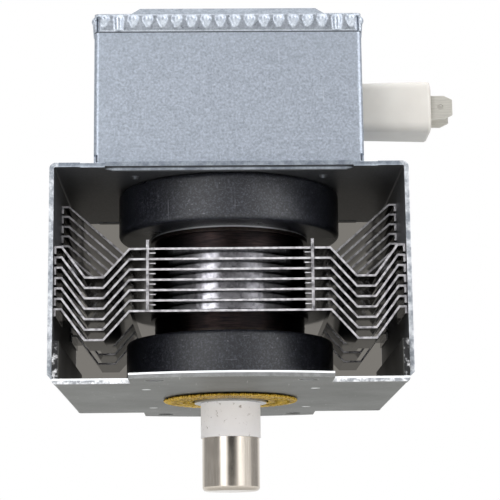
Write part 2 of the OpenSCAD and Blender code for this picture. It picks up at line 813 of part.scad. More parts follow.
module filter_box() {
  ledge_z = skirt_z - fit_gap;
  notch_over = 0.3;
  color(zinc) difference() {
    union() {
      round_block(box_w, box_d, yoke_top, ledge_z - yoke_top, box_corner);
      round_block(box_w - 2 * neck_inset, box_d - 2 * neck_inset, yoke_top, box_rim - yoke_top, box_corner);
    }
    round_block(
      box_w - 2 * box_t, box_d - 2 * box_t, box_floor, ledge_z - box_t - box_floor, box_corner - box_t
    );
    round_block(
      box_w - 2 * (neck_inset + box_t), box_d - 2 * (neck_inset + box_t), box_floor, box_h, box_corner - box_t
    );
    translate([0, 0, yoke_top - cut_over]) cylinder(h = box_t + 2 * cut_over, r = can_hole_r);
    translate([wall_in - cut_over, 0, plug_mid]) rotate([0, 90, 0])
      cylinder(h = box_t + 2 * cut_over, d = neck_d + 2 * fit_gap);
    for (side = [-1, 1])
      translate([wall_in - cut_over, side * rivet_span / 2, plug_mid]) rotate([0, 90, 0])
        cylinder(h = box_t + 2 * cut_over, d = rivet_d + 2 * fit_gap);
    for (sx = [-1, 1], sy = [-1, 1])
      translate([sx * wall_out, sy * box_d / 2, box_floor + notch_over + corner_notch / 2])
        cube([2 * (box_t + notch_over), 2 * (box_corner + notch_over), corner_notch], center = true);
  }
  color(zinc) at_pips(upper_pip_r, upper_pip_angle)
    translate([0, 0, yoke_top - pip_h / 2]) cylinder(h = pip_h / 2 + box_t, d = pip_d / 2);
}

// Raised middle of the lid, drawn in by inset on every face and run down past the sheet by drop
module lid_dome(inset, drop) {
  x0 = dome_w / 2 - inset;
  y0 = dome_d / 2 - inset;
  slope = dome_h;
  top = lid_top + dome_h - inset;
  foot = lid_top - drop;
  intersection() {
    translate([0, y0, 0]) rotate([90, 0, 0]) linear_extrude(height = 2 * y0)
      polygon([[-x0, foot], [x0, foot], [x0, lid_top], [x0 - slope, top], [slope - x0, top], [-x0, lid_top]]);
    translate([-x0, 0, 0]) rotate([90, 0, 90]) linear_extrude(height = 2 * x0)
      polygon([[-y0, foot], [y0, foot], [y0, lid_top], [y0 - slope, top], [slope - y0, top], [-y0, lid_top]]);
  }
}

// Row of crimps along a lid side of the given length, on the face y = 0
module crimp_row(length) {
  span = length - 2 * crimp_margin;
  gaps = round(span / crimp_pitch);
  crimp_r = crimp_pitch * 0.34;
  ball_z = lid_top - crimp_r - fit_gap;
  for (i = [0 : gaps])
    let (lock = i == 1 || i == gaps - 1, h = skirt_h * (lock ? 0.68 : 0.46))
      translate([-span / 2 + span * i / gaps, crimp_r - crimp_out, ball_z]) {
        translate([0, 0, -h]) cylinder(h = h, r1 = crimp_r * (lock ? 0.8 : 0.45), r2 = crimp_r, $fn = 24);
        sphere(r = crimp_r + fit_gap / 2, $fn = 24);
      }
}

module filter_lid() {
  notch = 2 * box_corner;
  color(zinc) {
    difference() {
      union() {
        round_block(box_w, box_d, skirt_z, skirt_h, box_corner);
        intersection() {
          union()
            for (end = [0, 1]) {
              mirror([0, end, 0]) translate([0, -box_d / 2, 0]) crimp_row(box_w);
              mirror([end, 0, 0]) translate([-box_w / 2, 0, 0]) rotate(-90) crimp_row(box_d);
            }
          round_block(box_w + notch, box_d + notch, skirt_z, skirt_h, box_corner);
        }
        lid_dome(0, lid_t / 2);
      }
      round_block(
        box_w - 2 * lid_t, box_d - 2 * lid_t, skirt_z - cut_over, box_rim - skirt_z + cut_over,
        box_corner - lid_t
      );
      lid_dome(lid_t, 2 * lid_t);
      for (sx = [-1, 1], sy = [-1, 1])
        translate([sx * box_w / 2, sy * box_d / 2, skirt_z + (skirt_h - lid_t) / 2 - cut_over / 2])
          cube([notch, notch, skirt_h - lid_t + cut_over], center = true);
    }
  }
}

// Blade in the plane of X and Z, with every edge moved out by room
module blade_outline(room) {
  tip = case_end + blade_l + room;
  half = blade_w / 2 + room;
  shank = shank_h / 2 + room;
  lug = 2.5 + room;
  chamfer = 1.1;
  step_x = case_end - 3 - room;
  upper = [
    [lug_end - room, lug], [core_end + room, lug], [core_end + room, shank], [step_x, shank],
    [step_x, half], [tip - 2 * chamfer, half], [tip, half - chamfer]
  ];
  polygon(concat(upper, [for (i = [len(upper) - 1 : -1 : 0]) [upper[i][0], -upper[i][1]]]));
}

module blades(room) {
  for (side = [-1, 1])
    translate([0, side * blade_y + blade_t / 2 + room, plug_mid]) rotate([90, 0, 0])
      linear_extrude(height = blade_t + 2 * room) blade_outline(room);
}

module terminal_blades() {
  hole_x = case_end + blade_l * 0.45;
  color(polished_steel) difference() {
    blades(0);
    translate([hole_x, case_d, plug_mid]) rotate([90, 0, 0]) cylinder(h = 2 * case_d, d = blade_w * 0.27);
  }
}

// Slice of the case at x, with the given height and depth
module case_slice(x, h, d, r) {
  translate([x, 0, plug_mid]) rotate([0, 90, 0]) linear_extrude(height = 0.1)
    for (sy = [-1, 1], sz = [-1, 1])
      translate([sz * (h / 2 - r), sy * (d / 2 - r)]) circle(r = r, $fn = 32);
}

module capacitor_case() {
  edge = 0.9;
  color(case_white) difference() {
    union() {
      hull() {
        case_slice(case_x, case_h - case_draft, case_d - case_draft, case_corner);
        case_slice(case_end - edge, case_h, case_d, case_corner);
        case_slice(case_end - 0.4 * edge, case_h - 0.5 * edge, case_d - 0.5 * edge, case_corner);
        case_slice(case_end - 0.1, case_h - 2 * edge, case_d - 2 * edge, case_corner);
      }
      translate([wall_in, 0, plug_mid]) rotate([0, 90, 0]) cylinder(h = case_x - wall_in + edge, d = neck_d);
    }
    blades(fit_gap);
  }
}

module capacitor_flange() {
  edge_r = 2;
  color(plated_steel) difference() {
    translate([wall_out, 0, plug_mid]) rotate([0, 90, 0])
      round_block(case_h - case_draft, flange_w, 0, flange_t, edge_r);
    translate([wall_out - cut_over, 0, plug_mid]) rotate([0, 90, 0])
      cylinder(h = flange_t + 2 * cut_over, d = neck_d + 2 * fit_gap);
    for (side = [-1, 1])
      translate([wall_out - cut_over, side * rivet_span / 2, plug_mid]) rotate([0, 90, 0])
        cylinder(h = flange_t + 2 * cut_over, d = rivet_d + 2 * fit_gap);
  }
}

// Moulded end of the capacitor inside the box
module capacitor_core() {
  color(case_white) difference() {
    translate([core_end, 0, plug_mid]) rotate([0, 90, 0])
      round_block(case_h - 2, neck_d + 1.5, 0, core_l, case_corner);
    blades(fit_gap);
  }
}

module flange_rivets() {
  head_d = 1.5 * rivet_d;
  head_h = 0.6;
  color(plated_steel)
    for (side = [-1, 1])
      translate([0, side * rivet_span / 2, plug_mid]) rotate([0, 90, 0]) {
        translate([0, 0, wall_in - head_h]) cylinder(h = head_h, d = head_d);
        translate([0, 0, wall_in - head_h]) cylinder(h = case_x - wall_in + 2 * head_h, d = rivet_d);
        translate([0, 0, case_x]) cylinder(h = head_h, d = head_d);
      }
}

// Coil whose wire comes up from a stem lug and ends against a blade's lug
module choke_coil(side) {
  steps = choke_turns * turn_steps;
  foot = [lug_x, wire_y, stem_top + terminal_t + 0.5];
  head = [choke_end_x, wire_y, plug_mid + 2.4];
  turns = [
    for (i = [0 : steps])
      let (a = 360 * i / turn_steps)
        [
          lug_x + (choke_end_x - lug_x) * i / steps,
          choke_y - choke_r * cos(a), plug_mid + choke_r * sin(a)
        ]
  ];
  color(enamel_copper) mirror([0, side < 0 ? 1 : 0, 0])
    wire(concat([foot], turns, [head]), choke_wire, [1, 0, 0]);
}

module choke_core(side) {
  mid_x = (lug_x + choke_end_x) / 2;
  color(ferrite_black) translate([mid_x - core_rod_l / 2, side * choke_y, plug_mid]) rotate([0, 90, 0])
    cylinder(h = core_rod_l, d = core_d);
}

yoke_frame();
mounting_plate();
upper_magnet();
lower_magnet();
for (i = [1 : fin_count])
  cooling_fin(i);
anode_cylinder();
anode_vanes();
strap_rings();
upper_pole_piece();
lower_pole_piece();
upper_seal_can();
lower_seal_can();
cathode_filament();
upper_end_hat();
lower_end_hat();
centre_lead();
side_lead();
stem_insulator();
stem_terminals();
output_insulator();
antenna_lead();
exhaust_tube();
antenna_cap();
rf_gasket();
filter_box();
filter_lid();
capacitor_case();
capacitor_flange();
capacitor_core();
terminal_blades();
flange_rivets();
choke_coil(-1);  // choke_coil_1
choke_coil(1);  // choke_coil_2
choke_core(-1);  // choke_core_1
choke_core(1);  // choke_core_2
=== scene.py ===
import math

import bmesh
import bpy
from mathutils import Matrix, Vector


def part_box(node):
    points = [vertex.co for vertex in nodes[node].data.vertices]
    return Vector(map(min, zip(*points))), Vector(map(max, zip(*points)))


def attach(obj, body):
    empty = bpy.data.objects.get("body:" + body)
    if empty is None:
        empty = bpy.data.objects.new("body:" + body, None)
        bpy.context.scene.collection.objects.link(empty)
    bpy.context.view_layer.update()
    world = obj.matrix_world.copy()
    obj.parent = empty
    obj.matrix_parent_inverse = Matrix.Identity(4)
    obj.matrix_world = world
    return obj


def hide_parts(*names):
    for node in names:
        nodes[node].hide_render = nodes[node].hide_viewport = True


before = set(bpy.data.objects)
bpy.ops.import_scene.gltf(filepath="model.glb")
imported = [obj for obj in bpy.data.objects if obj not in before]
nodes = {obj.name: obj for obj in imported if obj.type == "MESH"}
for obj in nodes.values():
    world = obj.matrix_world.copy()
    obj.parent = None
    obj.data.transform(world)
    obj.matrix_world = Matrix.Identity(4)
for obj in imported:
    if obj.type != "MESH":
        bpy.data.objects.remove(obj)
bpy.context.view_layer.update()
mm = 0.001
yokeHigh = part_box("yoke_frame")[1]
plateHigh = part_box("mounting_plate")[1]
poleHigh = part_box("upper_pole_piece")[1]
lidLow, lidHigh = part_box("filter_lid")
gasketLow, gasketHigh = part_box("rf_gasket")
print("frame in place:", len(nodes), "nodes")

nodeGrid = {"rows": 6, "across": 240, "down": 300}  # where new nodes stand in the editor
midSpan = (0.3, 0.7)  # the stretch of a noise that is spread over a whole tone
farOff = 1.0  # metres, past every face of the part
white = (1.0, 1.0, 1.0, 1.0)


# small helpers for colours and node trees
def srgb(*parts):
    shares = [part / 255 for part in parts]
    linear = [share / 12.92 if share <= 0.04045 else ((share + 0.055) / 1.055) ** 2.4 for share in shares]
    return (*linear, 1.0)


def feed(tree, socket, value):
    if isinstance(value, bpy.types.NodeSocket):
        tree.links.new(value, socket)
    else:
        socket.default_value = value


def addNode(tree, kind, props=None, values=None):  # values go by a socket's name or number
    column, row = divmod(len(tree.nodes), nodeGrid["rows"])
    made = tree.nodes.new(kind)
    made.location = (nodeGrid["across"] * column, -nodeGrid["down"] * row)
    for key, value in (props or {}).items():
        setattr(made, key, value)
    for key, value in (values or {}).items():
        feed(tree, made.inputs[key], value)
    return made


def maths(tree, operation, *values, clamp=False):
    props = {"operation": operation, "use_clamp": clamp}
    return addNode(tree, "ShaderNodeMath", props, dict(enumerate(values))).outputs[0]


def vectorMaths(tree, operation, *values):
    return addNode(tree, "ShaderNodeVectorMath", {"operation": operation}, dict(enumerate(values)))


def both(tree, first, second):
    return maths(tree, "MULTIPLY", first, second)


def noise(tree, place, scale, detail, roughness=0.5):
    values = {"Vector": place, "Scale": scale, "Detail": detail, "Roughness": roughness}
    return addNode(tree, "ShaderNodeTexNoise", None, values).outputs


def spread(tree, value, low, high, span=(0.0, 1.0)):
    values = dict(enumerate((value, *span, low, high)))
    return addNode(tree, "ShaderNodeMapRange", {"clamp": True}, values).outputs[0]


def ramp(tree, value, low, high, span=midSpan):
    made = addNode(tree, "ShaderNodeValToRGB", None, {0: value})
    for stop, position, colour in zip(made.color_ramp.elements, span, (low, high)):
        stop.position = position
        stop.color = colour
    return made.outputs[0]


def blendTo(tree, mask, base, over):
    values = {"Factor": mask, "A": base, "B": over}
    return addNode(tree, "ShaderNodeMix", {"data_type": "RGBA"}, values).outputs["Result"]


def placeInMm(tree):
    coord = addNode(tree, "ShaderNodeTexCoord")
    scaled = vectorMaths(tree, "SCALE", coord.outputs["Object"])
    scaled.inputs["Scale"].default_value = 1 / mm
    return scaled.outputs[0]


def placeMask(tree, axis, low=-farOff, high=farOff):
    coord = addNode(tree, "ShaderNodeTexCoord")
    value = addNode(tree, "ShaderNodeSeparateXYZ", None, {0: coord.outputs["Object"]}).outputs[axis]
    if axis != "Z":  # both sides alike
        value = maths(tree, "ABSOLUTE", value)
    return both(tree, maths(tree, "GREATER_THAN", value, low), maths(tree, "LESS_THAN", value, high))


def startGroup(name, inputs, outputs):
    tree = bpy.data.node_groups.new(name, "ShaderNodeTree")
    for label, value in inputs.items():
        kind = "NodeSocketVector" if isinstance(value, tuple) else "NodeSocketFloat"
        tree.interface.new_socket(name=label, in_out="INPUT", socket_type=kind).default_value = value
    for label, kind in outputs.items():
        tree.interface.new_socket(name=label, in_out="OUTPUT", socket_type="NodeSocket" + kind)
    return tree, addNode(tree, "NodeGroupInput").outputs, addNode(tree, "NodeGroupOutput").inputs


# crystals of the zinc coat, with a fine mottle over them
spangleLook = {"warp": {"scale": 0.35, "detail": 3.0}, "push": (3.0, 3.0, 3.0),
               "fine": {"scale": 1.7, "detail": 3.0, "roughness": 0.6}}


def makeSpangle(look):
    outputs = {"Tone": "Float", "Height": "Float"}
    tree, given, result = startGroup("zincSpangle", {"Cell mm": 4.0, "Mottle": 0.4}, outputs)
    place = placeInMm(tree)
    warp = noise(tree, place, **look["warp"])["Color"]
    pushed = vectorMaths(tree, "MULTIPLY_ADD", warp, look["push"], place).outputs[0]
    size = maths(tree, "DIVIDE", 1.0, given["Cell mm"])
    cells = addNode(tree, "ShaderNodeTexVoronoi", None, {"Vector": pushed, "Scale": size})
    pick = addNode(tree, "ShaderNodeSeparateColor", None, {0: cells.outputs["Color"]})
    fine = noise(tree, place, **look["fine"])["Fac"]
    values = {"Factor": given["Mottle"], "A": pick.outputs["Red"], "B": fine}
    mottled = addNode(tree, "ShaderNodeMix", {"data_type": "FLOAT"}, values)
    feed(tree, result["Tone"], mottled.outputs["Result"])
    feed(tree, result["Height"], fine)
    return tree


# long fine lines left by rolling, drawing or turning
rollLook = {"scale": 1.0, "detail": 5.0, "roughness": 0.6}


def makeRollLines(look):
    tree, given, result = startGroup("rollLines", {"Stretch": (1.0, 1.0, 1.0)}, {"Lines": "Float"})
    drawn = vectorMaths(tree, "MULTIPLY", placeInMm(tree), given["Stretch"]).outputs[0]
    feed(tree, result["Lines"], noise(tree, drawn, **look)["Fac"])
    return tree


# scratches in three directions, and dull patches from handling
handlingLook = {"ways": ((0.5, (0.06, 0.9, 1.3)), (-0.9, (0.9, 0.8, 0.05)), (1.7, (1.2, 0.07, 0.9))),
                "lean": (1.0, 0.6, 1.3), "streaks": {"scale": 1.6, "detail": 2.0}, "cut": (0.70, 0.78),
                "patches": {"detail": 4.0, "roughness": 0.55}}


def makeHandling(look):
    outputs = {"Scratches": "Float", "Patches": "Float"}
    tree, given, result = startGroup("handlingMarks", {"Scratch": 0.5, "Patch mm": 14.0}, outputs)
    place = placeInMm(tree)
    scratches = 0.0
    for turn, stretch in look["ways"]:
        rotation = [turn * lean for lean in look["lean"]]
        values = {"Vector": place, "Rotation": rotation, "Scale": stretch}
        spun = addNode(tree, "ShaderNodeMapping", None, values).outputs[0]
        streaks = noise(tree, spun, **look["streaks"])["Fac"]
        scratches = maths(tree, "MAXIMUM", scratches, spread(tree, streaks, 0.0, 1.0, look["cut"]))
    feed(tree, result["Scratches"], both(tree, scratches, given["Scratch"]))
    size = maths(tree, "DIVIDE", 1.0, given["Patch mm"])
    feed(tree, result["Patches"], noise(tree, place, size, **look["patches"])["Fac"])
    return tree


# rounded normal and a mask along sharp edges
bevelLook = {"samples": 6}


def makeEdges(look):
    outputs = {"Normal": "Vector", "Edge": "Float"}
    tree, given, result = startGroup("cutEdges", {"Width mm": 0.2, "Gain": 3.0}, outputs)
    width = maths(tree, "MULTIPLY", given["Width mm"], mm)
    soft = addNode(tree, "ShaderNodeBevel", look, {"Radius": width}).outputs[0]
    face = addNode(tree, "ShaderNodeNewGeometry").outputs["Normal"]
    away = maths(tree, "SUBTRACT", 1.0, vectorMaths(tree, "DOT_PRODUCT", soft, face).outputs["Value"])
    feed(tree, result["Edge"], maths(tree, "MULTIPLY", away, given["Gain"], clamp=True))
    feed(tree, result["Normal"], soft)
    return tree


# pits and grains of sintered or moulded matter, and a slow cloud
grainLook = {"pits": {"detail": 4.0, "roughness": 0.7}, "cloud": {"scale": 0.09, "detail": 3.0}}


def makeGrains(look):
    outputs = {"Pits": "Float", "Cloud": "Float"}
    tree, given, result = startGroup("finePits", {"Grain mm": 0.5}, outputs)
    place = placeInMm(tree)
    size = maths(tree, "DIVIDE", 1.0, given["Grain mm"])
    feed(tree, result["Pits"], noise(tree, place, size, **look["pits"])["Fac"])
    feed(tree, result["Cloud"], noise(tree, place, **look["cloud"])["Fac"])
    return tree


# mask of the cut ends at the front and back of a sheet
def makeSheetEnds():
    tree, given, result = startGroup("sheetEnds", {"From": 0.6, "To": 0.9}, {"Ends": "Float"})
    coord = addNode(tree, "ShaderNodeTexCoord")
    parts = addNode(tree, "ShaderNodeSeparateXYZ", None, {0: coord.outputs["Normal"]})
    facing = maths(tree, "ABSOLUTE", parts.outputs["Y"])
    feed(tree, result["Ends"], spread(tree, facing, 0.0, 1.0, (given["From"], given["To"])))
    return tree


spangle = makeSpangle(spangleLook)
rollLines = makeRollLines(rollLook)
handling = makeHandling(handlingLook)
cutEdges = makeEdges(bevelLook)
finePits = makeGrains(grainLook)
sheetEnds = makeSheetEnds()
print("shared effects ready")


# what every finish is put together from
def startMaterial(name):
    material = bpy.data.materials.new(name)
    material.use_nodes = True
    tree = material.node_tree
    tree.nodes.clear()
    return material, tree, addNode(tree, "ShaderNodeOutputMaterial").inputs["Surface"]


def startFinish(name, metal):
    finish, tree, surface = startMaterial(name)
    skin = addNode(tree, "ShaderNodeBsdfPrincipled", None, {"Metallic": metal})
    feed(tree, surface, skin.outputs[0])
    return finish, tree, skin


def effect(tree, group, values=None):
    return addNode(tree, "ShaderNodeGroup", {"node_tree": group}, values).outputs


def marksOf(tree, look):
    return effect(tree, handling, {"Scratch": look["scratch"], "Patch mm": look["patch"]})


def patchesOf(tree, look):
    return effect(tree, handling, {"Patch mm": look["patch"]})["Patches"]


def pitsOf(tree, grain):
    return effect(tree, finePits, {"Grain mm": grain})["Pits"]


def edgesOf(tree, look):
    return effect(tree, cutEdges, {"Width mm": look["edgeWidth"], "Gain": look["edgeGain"]})


def wearAndEdgeGlint(tree, tone, marks, edge, bare):  # bare metal in scratches, and bright edges that are partly wear and partly painted highlight
    scratched = blendTo(tree, marks["Scratches"], tone, bare)
    return blendTo(tree, edge["Edge"], scratched, bare)


def coverSkin(tree, skin, colour, rough):
    feed(tree, skin.inputs["Base Color"], colour)
    feed(tree, skin.inputs["Roughness"], rough)


def bumpOn(tree, skin, look, height, normal=None):
    strength, depth = look["bump"]  # depth in millimetres
    values = {"Strength": strength, "Distance": depth * mm, "Height": height}
    if normal is not None:
        values["Normal"] = normal
    feed(tree, skin.inputs["Normal"], addNode(tree, "ShaderNodeBump", None, values).outputs[0])


def dress(finish, *names):
    for name in names:
        if not nodes[name].material_slots:
            nodes[name].data.materials.append(finish)
        for slot in nodes[name].material_slots:
            slot.material = finish


# zinc-coated sheet: the box, its lid and the yoke
zincLook = {"patch": 16.0, "stain": 0.05, "stainSpan": (0.45, 0.75), "roughSpan": (0.2, 0.8),
            "bump": (0.08, 0.04)}
boxLook = {**zincLook, "dark": srgb(162, 170, 181), "light": srgb(200, 208, 220),
           "edge": srgb(236, 241, 246), "rough": (0.36, 0.48), "metal": 0.86, "cell": 0.8, "mottle": 0.88,
           "edgeWidth": 0.22, "edgeGain": 2.5, "scratch": 0.25,
           # painted shadow under the lid's skirt: its heights and colour
           "paintedSkirtShadow": (lidLow.z - 0.35 * mm, lidLow.z - 0.05 * mm), "paintedSkirtShadowColour": srgb(96, 101, 108)}
lidLook = {**zincLook, "dark": srgb(176, 184, 195), "light": srgb(226, 233, 243),
           "edge": srgb(246, 249, 252), "rough": (0.26, 0.34), "metal": 0.88, "cell": 1.2, "mottle": 0.8,
           "edgeWidth": 0.8, "edgeGain": 0.8, "scratch": 0.3, "topFrom": lidHigh.z - 3.5 * mm,
           "top": (srgb(142, 149, 158), srgb(182, 189, 198)), "topRough": 0.22}
yokeLook = {**zincLook, "dark": srgb(150, 158, 169), "light": srgb(182, 190, 201),
            "edge": srgb(232, 237, 243), "rough": (0.36, 0.5), "metal": 0.86, "cell": 0.8, "mottle": 0.88,
            "edgeWidth": 0.25, "edgeGain": 2.5, "scratch": 0.3,
            "insideWidth": yokeHigh.x - 1.07 * mm, "insideTop": yokeHigh.z - 1.0 * mm,
            "paintedInsideShade": srgb(80, 81, 84), "insideMetal": 0.4, "fleck": 2.6, "fleckSpan": (0.4, 0.62),
            "ends": (srgb(130, 138, 149), srgb(172, 180, 190)), "sideFrom": yokeHigh.x - 2.2 * mm,
            "glintSideEnds": (srgb(160, 166, 174), srgb(238, 241, 245))}


def zincCoat(tree, skin, look, edge):
    zinc = effect(tree, spangle, {"Cell mm": look["cell"], "Mottle": look["mottle"]})
    marks = marksOf(tree, look)
    stain = spread(tree, marks["Patches"], 0.0, look["stain"], look["stainSpan"])
    tone = blendTo(tree, stain, ramp(tree, zinc["Tone"], look["dark"], look["light"]), look["dark"])
    rough = spread(tree, zinc["Tone"], *look["rough"], look["roughSpan"])
    bumpOn(tree, skin, look, zinc["Height"], edge["Normal"])
    return wearAndEdgeGlint(tree, tone, marks, edge, look["edge"]), rough, zinc["Tone"]


def boxFinish(name, look):
    finish, tree, skin = startFinish(name, look["metal"])
    colour, rough, _ = zincCoat(tree, skin, look, edgesOf(tree, look))
    paintedSkirtShadow = placeMask(tree, "Z", *look["paintedSkirtShadow"])  # painted shadow line under the lid's skirt
    coverSkin(tree, skin, blendTo(tree, paintedSkirtShadow, colour, look["paintedSkirtShadowColour"]), rough)
    return finish


def lidFinish(name, look):
    finish, tree, skin = startFinish(name, look["metal"])
    colour, rough, tone = zincCoat(tree, skin, look, edgesOf(tree, look))
    top = placeMask(tree, "Z", look["topFrom"])  # duller than the crimped skirt
    colour = blendTo(tree, top, colour, ramp(tree, tone, *look["top"]))
    coverSkin(tree, skin, colour, maths(tree, "ADD", rough, both(tree, top, look["topRough"])))
    return finish


def yokeFinish(name, look):
    finish, tree, skin = startFinish(name, look["metal"])
    between = placeMask(tree, "X", high=look["insideWidth"])
    inside = both(tree, between, placeMask(tree, "Z", high=look["insideTop"]))
    width = spread(tree, inside, look["edgeWidth"], 0.0)  # no worn edges inside the fold
    edge = effect(tree, cutEdges, {"Width mm": width, "Gain": look["edgeGain"]})
    colour, rough, _ = zincCoat(tree, skin, look, edge)
    colour = blendTo(tree, inside, colour, look["paintedInsideShade"])  # painted shade: dark and dull inside the fold
    # flecked cut ends; the brighter side ends are painted highlight
    flecks = pitsOf(tree, look["fleck"])
    topEnds = ramp(tree, flecks, *look["ends"], look["fleckSpan"])
    glintSideEnds = ramp(tree, flecks, *look["glintSideEnds"], look["fleckSpan"])
    ends = blendTo(tree, placeMask(tree, "X", look["sideFrom"]), topEnds, glintSideEnds)
    coverSkin(tree, skin, blendTo(tree, effect(tree, sheetEnds)["Ends"], colour, ends), rough)
    feed(tree, skin.inputs["Metallic"], spread(tree, inside, look["metal"], look["insideMetal"]))
    return finish


dress(boxFinish("boxZinc", boxLook), "filter_box")
dress(lidFinish("lidZinc", lidLook), "filter_lid")
dress(yokeFinish("yokeZinc", yokeLook), "yoke_frame")
print("zinc sheet done")

# plated steel: the mounting plate, the pole pieces and the small steel pieces
steelLook = {"patch": 22.0, "edgeGain": 2.5, "bump": (0.08, 0.04)}
plateLook = {**steelLook, "dark": srgb(100, 101, 98), "light": srgb(116, 117, 114),
             "edge": srgb(206, 206, 204), "rough": (0.46, 0.6), "metal": 0.45, "edgeWidth": 0.3,
             "scratch": 0.4, "stretch": (0.5, 3.0, 3.0), "fleck": 2.4,
             "flat": (0.1 * mm, 1.45 * mm), "ends": (srgb(150, 153, 158), srgb(252, 253, 255)),
             "endsSpan": (0.42, 0.6), "tabHalf": 24.2 * mm, "tabSpan": (0.4, 0.6),
             "tabEnds": (srgb(116, 117, 117), srgb(134, 135, 135)),
             "lineAt": (0.95 * mm, 1.4 * mm), "line": srgb(246, 248, 250),
             "insideHalf": (plateHigh.x - 0.03 * mm, yokeHigh.y - 0.2 * mm), "inside": srgb(62, 61, 60),
             "pipsHalf": yokeHigh.y - 0.5 * mm, "pipsAt": (0.05 * mm, 0.72 * mm), "pips": srgb(244, 245, 246),
             "flangeEndGlints": (srgb(34, 34, 35), srgb(214, 214, 216)), "flangeSpan": (0.52, 0.66)}
poleLook = {**steelLook, "dark": srgb(22, 20, 20), "light": srgb(58, 47, 42), "edge": srgb(90, 86, 84),
            "rough": (0.3, 0.45), "metal": 0.8, "edgeWidth": 0.15, "scratch": 0.3,
            "stretch": (1.5, 1.5, 3.0), "brim": (poleHigh.z - 0.35 * mm, poleHigh.z + 1.0 * mm),
            "brimGlint": srgb(200, 202, 204)}
smallSteelLook = {**steelLook, "dark": srgb(150, 151, 152), "light": srgb(176, 177, 178),
                  "edge": srgb(216, 216, 215), "rough": (0.28, 0.42), "metal": 0.9, "edgeWidth": 0.12,
                  "scratch": 0.3, "stretch": (1.5, 1.5, 3.0)}


def steelFinish(name, look, paint=None):
    finish, tree, skin = startFinish(name, look["metal"])
    lines = effect(tree, rollLines, {"Stretch": look["stretch"]})["Lines"]
    marks, edge = marksOf(tree, look), edgesOf(tree, look)
    colour = wearAndEdgeGlint(tree, ramp(tree, lines, look["dark"], look["light"]), marks, edge, look["edge"])
    if paint:  # what only this piece shows
        colour = paint(tree, look, colour)
    coverSkin(tree, skin, colour, spread(tree, marks["Patches"], *look["rough"], midSpan))
    bumpOn(tree, skin, look, lines, edge["Normal"])
    return finish


def paintPlate(tree, look, colour):
    flecks = pitsOf(tree, look["fleck"])
    cut = effect(tree, sheetEnds)["Ends"]
    raised = placeMask(tree, "Z", look["flat"][1])  # the turned-up flanges
    # cut ends of the flat part, plainer on the tabs; brighter side ends and a bright upper line are painted
    # highlight
    glintSideEnds = ramp(tree, flecks, *look["ends"], look["endsSpan"])
    tabEnds = ramp(tree, flecks, *look["tabEnds"], look["tabSpan"])
    ends = blendTo(tree, placeMask(tree, "X", high=look["tabHalf"]), glintSideEnds, tabEnds)
    ends = blendTo(tree, placeMask(tree, "Z", *look["lineAt"]), ends, look["line"])
    colour = blendTo(tree, both(tree, placeMask(tree, "Z", *look["flat"]), cut), colour, ends)
    # painted shade: dark inner faces of the flanges
    halfX, halfY = look["insideHalf"]
    within = both(tree, placeMask(tree, "X", high=halfX), placeMask(tree, "Y", high=halfY))
    colour = blendTo(tree, both(tree, within, raised), colour, look["inside"])
    # painted highlight: bright dimples pressed into the underside
    sunk = both(tree, placeMask(tree, "Y", high=look["pipsHalf"]), placeMask(tree, "Z", *look["pipsAt"]))
    colour = blendTo(tree, sunk, colour, look["pips"])
    # flecked cut ends of the flanges, with painted glints and painted shade
    flangeEndGlints = ramp(tree, flecks, *look["flangeEndGlints"], look["flangeSpan"])
    return blendTo(tree, both(tree, raised, cut), colour, flangeEndGlints)


def paintBrimGlint(tree, look, colour):  # painted highlight: bright upper brim, just under the magnet
    return blendTo(tree, placeMask(tree, "Z", *look["brim"]), colour, look["brimGlint"])


dress(steelFinish("platePlating", plateLook, paintPlate), "mounting_plate")
dress(steelFinish("poleSteel", poleLook, paintBrimGlint), "upper_pole_piece", "lower_pole_piece")
dress(steelFinish("smallSteel", smallSteelLook), "upper_seal_can", "lower_seal_can", "stem_terminals",
      "capacitor_flange", "flange_rivets")
print("plated steel done")

# tungsten and molybdenum of the cathode
cathodeLook = {**steelLook, "dark": srgb(96, 94, 90), "light": srgb(136, 133, 127),
               "edge": srgb(170, 168, 162), "rough": (0.4, 0.55), "metal": 0.9, "edgeWidth": 0.1,
               "scratch": 0.2, "stretch": (2.0, 2.0, 2.0)}
dress(steelFinish("cathodeMetal", cathodeLook), "cathode_filament", "upper_end_hat", "lower_end_hat",
      "centre_lead", "side_lead")
print("cathode done")

# polished steel of the antenna cap, and the tinned blades
polishLook = {"scratch": 0.25, "patch": 5.0, "edgeWidth": 0.15, "edgeGain": 2.0, "bump": (0.05, 0.03)}
capLook = {**polishLook, "dark": srgb(202, 192, 180), "light": srgb(222, 213, 201),
           "edge": srgb(240, 236, 230), "rough": (0.14, 0.22), "metal": 1.0, "stretch": (4.0, 4.0, 0.12)}
bladeLook = {**polishLook, "dark": srgb(178, 175, 167), "light": srgb(200, 197, 189),
             "edge": srgb(226, 225, 221), "rough": (0.3, 0.42), "metal": 0.5, "stretch": (0.2, 3.0, 3.0)}
dress(steelFinish("capPolish", capLook), "antenna_cap")
dress(steelFinish("bladeTin", bladeLook), "terminal_blades")
print("polished steel done")

# sintered ferrite: the two ring magnets and the choke cores
ferriteLook = {"dark": srgb(6, 7, 10), "light": srgb(28, 30, 38), "toneSpan": (0.3, 0.75),
               "rough": (0.27, 0.36), "metal": 0.0, "sheen": 0.66, "grain": 0.4, "bump": (1.0, 0.09),
               "specks": srgb(66, 68, 76), "speckGrain": 0.5, "speckShare": 0.8, "speckSpan": (0.48, 0.66),
               "rub": srgb(150, 152, 158), "rubShare": 0.6, "rubSpan": (0.4, 0.65),
               "edgeWidth": 0.5, "edgeGain": 2.0, "scratch": 0.4, "patch": 9.0}


